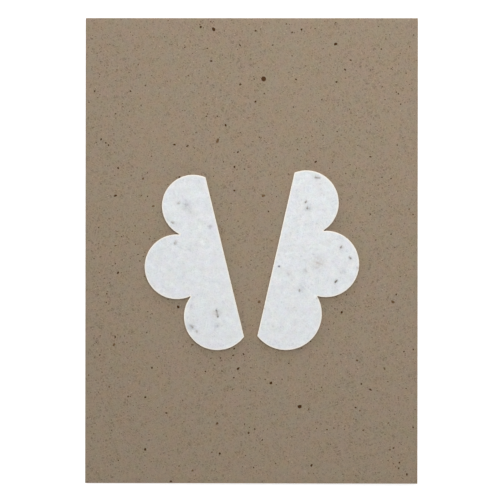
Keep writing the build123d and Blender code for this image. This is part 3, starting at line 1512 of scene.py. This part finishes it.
# The wings, with their petals, seeds and stains where the photograph shows them
LEFT_WING = SeedPaperWing(
    name="left_wing",
    side=Side.LEFT,
    edge=(-10.3, -1.92),
    lean=13.65,
    petals=(Petal(7.16, 21.23, 11.92), Petal(18.62, 0.13, 12.35), Petal(8.11, -22.0, 12.76)),
    seeds=(
        Seed(petal=0, bearing=154, inset=6.35, heading=10, length=1.1, veil=0.94),
        Seed(petal=0, bearing=205, inset=1.85, heading=116, length=1.2, veil=0.77),
        Seed(petal=1, bearing=80, inset=3.05, heading=61, length=1.5, veil=0.95),
        Seed(petal=2, bearing=78, inset=11.55, heading=87, length=3.1, veil=0.8, bare=0.94),
        Seed(petal=2, bearing=188, inset=2.4, heading=125, length=1.35, veil=0.6),
        Seed(petal=2, bearing=202, inset=3.2, heading=70, length=1.1, veil=0.9),
    ),
    stains=(
        Stain(9.7, 22.2, 1.6, 0.46, 0.05),
        Stain(10.6, 21.4, 0.9, 0.42, 0.02),
        Stain(9.0, 20.7, 1.0, 0.34, 0.02),
        Stain(8.6, 19.4, 0.8, 0.28),
        Stain(2.7, 12.0, 0.75, 0.56, 0.03),
        Stain(7.79, -19.45, 0.48, 1.1),
        Stain(8.0, -20.8, 1.7, 0.34, 0.03, 0.9),
        Stain(18.5, -23.5, 1.5, 0.4, 0.0, 0.2),
        Stain(9.0, -25.3, 0.9, 0.34, 0.03),
        Stain(16.8, -15.7, 0.9, 0.34, 0.03),
        # Painted highlights: paler paper over three bumps of pulp
        Stain(22.2, -6.3, 0.75, -0.35, 0.12),
        Stain(6.8, 6.0, 0.65, -0.7, 0.1),
        Stain(7.4, 6.9, 0.5, -0.6, 0.08),
    ),
    seed=21,
)
RIGHT_WING = SeedPaperWing(
    name="right_wing",
    side=Side.RIGHT,
    edge=(9.5, -0.74),
    lean=12.75,
    petals=(Petal(6.96, 21.08, 12.38), Petal(19.44, 0.0, 12.66), Petal(8.74, -22.02, 13.74)),
    seeds=(
        Seed(petal=0, bearing=79, inset=1.85, heading=5, length=2.3, veil=0.64),
        Seed(petal=0, bearing=126, inset=11.95, heading=60, length=1.15, veil=0.5),
        Seed(petal=0, bearing=294, inset=10.45, heading=100, length=1.15, veil=0.6),
        Seed(petal=1, bearing=61, inset=3.95, heading=80, length=1.15, veil=0.5),
        Seed(petal=1, bearing=27, inset=3.15, heading=150, length=1.25, veil=0.56),
        Seed(petal=1, bearing=313, inset=5.0, heading=55, length=1.5, veil=0.2),
        Seed(petal=2, bearing=73, inset=3.25, heading=100, length=1.15, veil=0.76),
    ),
    stains=(
        Stain(8.9, 31.3, 1.3, 0.24, 0.0, 0.4),
        Stain(7.9, 19.2, 1.3, 0.3),
        Stain(16.3, -0.1, 2.2, 0.38, 0.06, 0.85),
        Stain(12.4, -4.0, 0.9, 0.44, 0.02, 0.2),
        Stain(6.2, -6.8, 1.1, 0.3, 0.02),
        Stain(26.5, -1.6, 1.2, 0.19, 0.03),
        Stain(11.8, -12.0, 1.2, 0.26, 0.0, 0.2),
        Stain(2.2, -4.9, 0.33, 2.6),
        Stain(4.9, -27.7, 0.4, 0.25),
        Stain(31.6, 1.3, 0.6, 0.4, 0.0, 0.6),
        Stain(0.2, -21.9, 0.5, 0.4, 0.0, 0.4),
        # Painted highlight on the curled paper at the low notch
        Stain(18.2, -13.0, 0.6, -0.9, 0.08),
        # Painted shadow beside the curled paper at the low notch
        Stain(19.0, -13.6, 0.35, 0.5),
    ),
    seed=43,
)


@dataclass(frozen=True)
class Lamp:
    """A flat soft lamp that faces the card: its place and size in metres, and its power in watts."""

    name: str
    place: tuple[float, float, float]
    size: tuple[float, float]
    power: float

    def build(self) -> None:
        """Puts the lamp in the scene, turned to the origin."""
        data = bpy.data.lights.new(self.name, "AREA")
        data.shape = "RECTANGLE"
        data.size, data.size_y = self.size
        data.energy = self.power
        made = add_object(self.name, data)
        made.location = self.place
        made.rotation_euler = (-made.location).to_track_quat("-Z", "Y").to_euler()


@dataclass(frozen=True)
class Studio:
    """Floor, world, lamps and camera.

    Attributes:
        distance: height of the camera over the card's face.
        seen: width of the card's plane that the picture takes in.
        centre: place on the card's front at the picture's middle.
        roll: degrees that the camera is turned about its view.
        sensor: width of the camera's sensor.
        clip: nearest and farthest that the camera sees, in metres.
        ambient: strength of the light from all round.
        floor_side: side of the floor, in metres.
        floor_drop: depth of the floor under the card.
        floor_white: brightness of the floor.
        floor_glow: strength of the floor's glow with the distance from the origin in metres.
        lamps: soft lamps.
    """

    distance: float = 1200.0
    seen: float = 191.02
    centre: tuple[float, float] = (-0.55, 0.27)
    roll: float = 0.07
    sensor: float = 36.0
    clip: tuple[float, float] = (0.05, 20.0)
    ambient: float = 0.15
    floor_side: float = 8.0
    floor_drop: float = 0.05
    floor_white: float = 0.86
    floor_glow: Ramp = (0.2, 0.9, 0.64, 0.9)
    lamps: tuple[Lamp, ...] = (
        Lamp("overhead_softbox", (0.065, 0.14, 0.36), (0.42, 0.36), 1.22),
        Lamp("top_low_softbox", (0.15, 1.18, 0.3), (2.0, 0.4), 10.2),
        Lamp("left_low_softbox", (-0.95, 0.6, 0.3), (2.0, 0.4), 5.5),
        Lamp("bottom_low_softbox", (0.0, -1.2, 0.3), (1.6, 0.4), 8.4),
    )

    def floor(self) -> None:
        """A white floor just under the card, with a glow that grows outwards and lights nothing."""
        corners = np.array([(-1.0, -1.0), (1.0, -1.0), (1.0, 1.0), (-1.0, 1.0)]) * self.floor_side / 2.0
        points = np.insert(corners, 2, -self.floor_drop * MM, axis=1)
        mesh = bpy.data.meshes.new("floor")
        mesh.from_pydata(points.tolist(), [], [(0, 1, 2, 3)])
        made = add_object("floor", mesh)
        material = bpy.data.materials.new("white_floor")
        material.use_nodes = True
        bench = Bench(material.node_tree)
        white = bench.node("ShaderNodeBsdfDiffuse", {"Color": (self.floor_white,) * 3})
        reach = bench.node("ShaderNodeVectorMath", {0: bench.place()}, operation="LENGTH").outputs["Value"]
        strength = bench.reckon("MULTIPLY", self.seen_rays(bench), bench.span(reach, self.floor_glow))
        glow = bench.node("ShaderNodeEmission", {"Strength": strength})
        both = bench.node("ShaderNodeAddShader", {0: white.outputs[0], 1: glow.outputs[0]})
        bench.end("ShaderNodeOutputMaterial", both)
        mesh.materials.append(material)

    @staticmethod
    def seen_rays(bench: Bench) -> NodeSocket:
        """1 for rays from the camera, or by way of gloss or glass, and 0 for the rest.

        Args:
            bench: bench of the material or world.

        Returns:
            The socket with that value.
        """
        path = bench.node("ShaderNodeLightPath").outputs
        gloss = bench.reckon("MAXIMUM", path["Is Camera Ray"], path["Is Glossy Ray"])
        return bench.reckon("MAXIMUM", gloss, path["Is Transmission Ray"])

    def world(self) -> None:
        """Even light from all round, which the camera sees as white."""
        world = bpy.data.worlds.new("white_room")
        world.use_nodes = True
        bench = Bench(world.node_tree)
        strength = bench.span(self.seen_rays(bench), (0.0, 1.0, self.ambient, 1.0))
        sky = bench.node("ShaderNodeBackground", {"Color": (1.0, 1.0, 1.0), "Strength": strength})
        bench.end("ShaderNodeOutputWorld", sky)
        bpy.context.scene.world = world

    def camera(self, shape: CardShape) -> None:
        """A long lens straight over the card, with the card's plane filling the picture as in the photograph.

        Args:
            shape: form of the card.
        """
        face = shape.on_face(np.array([self.centre]), np.zeros(1))[0]
        data = bpy.data.cameras.new("camera")
        data.sensor_width = self.sensor
        data.lens = self.sensor * self.distance / self.seen
        data.clip_start, data.clip_end = self.clip
        made = add_object("camera", data)
        made.location = (face + [0.0, 0.0, self.distance]) * MM
        made.rotation_euler = (0.0, 0.0, math.radians(self.roll))
        bpy.context.scene.camera = made

    def build(self, shape: CardShape) -> None:
        """Sets up the floor, the light and the camera.

        Args:
            shape: form of the card.
        """
        self.floor()
        self.world()
        for lamp in self.lamps:
            lamp.build()
        self.camera(shape)
        bpy.context.scene.view_settings.view_transform = "Standard"


def main() -> None:
    """Builds the card and its butterfly in order, then the studio."""
    logging.basicConfig(level=logging.INFO, format="%(name)s %(message)s")
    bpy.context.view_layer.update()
    effects = Effects(FibreFelt(), ColourWander())
    finishes = (KraftFinish(), BarkFinish(), SeedPaperFinish(), HuskFinish(), PadFinish())
    kraft, bark, paper, husk, sticky = (finish.build(effects) for finish in finishes)

    shape = CardShape.from_frame()
    pieces = [KraftCard(shape).build(kraft), BarkChips(shape).build(bark)]
    for wing in (LEFT_WING, RIGHT_WING):
        pieces.append(wing.build(shape, paper))
        pieces.append(WingSeeds(wing).build(shape, husk))
        pieces.append(WingPads(wing).build(sticky))
    for piece in pieces:
        LOG.info("%s: %d points, %d faces", piece.name, len(piece.data.vertices), len(piece.data.polygons))
    Studio().build(shape)

    bpy.context.view_layer.update()


if __name__ == "__main__":
    main()
